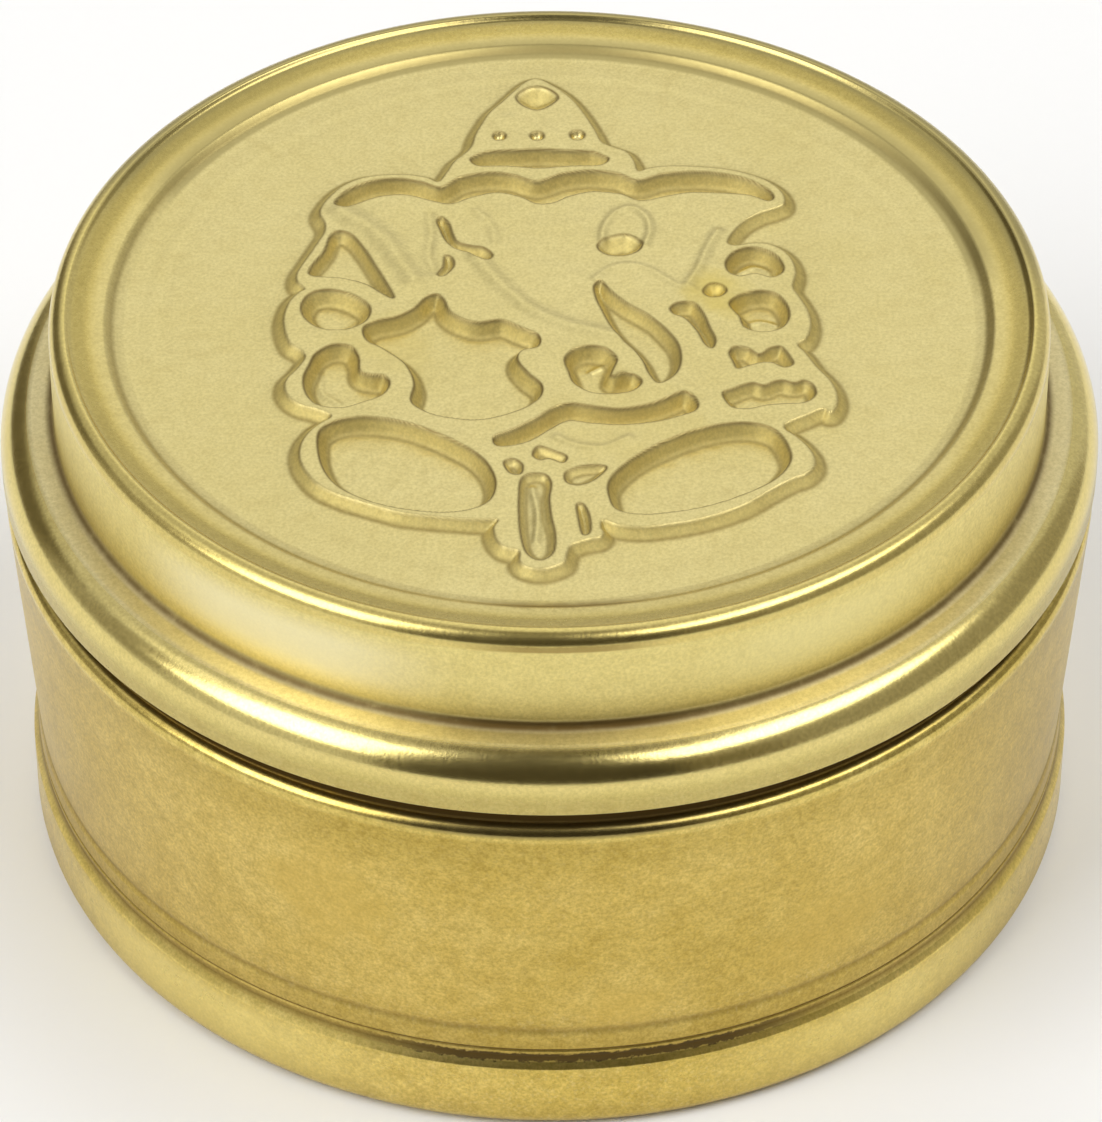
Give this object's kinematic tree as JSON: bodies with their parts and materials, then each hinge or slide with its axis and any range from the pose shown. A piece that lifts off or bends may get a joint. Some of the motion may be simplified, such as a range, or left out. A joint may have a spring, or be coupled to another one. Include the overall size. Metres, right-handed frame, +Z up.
{
  "type": "round lidded brass box",
  "caption": "Small round pressed-sheet box: a cup with a necked mouth and a spread foot, and a lift-off cap with a beaded skirt, raised crown and stamped seated figure.",
  "frame": {"origin": "centre of the ring that the box stands on, at the underside of the cup", "axes": "+Z up along the box's axis, the way the cap lifts; -Y is the front, where the foot of the stamped figure points"},
  "size_m": [0.06, 0.06, 0.0335],
  "materials": {
    "body_brass": "satin, soft-polished sheet with fine mottling",
    "lid_brass": "polished rim and bead, matt stamped panel"
  },
  "bodies": {
    "body": {"box_body": "body_brass"},
    "cap": {"lid": "lid_brass"}
  },
  "joints": [
    {"name": "lid_lift", "type": "slide", "parent": "body", "child": "cap", "axis": [0, 0, 1], "range_m": [0, 0.04]}
  ]
}
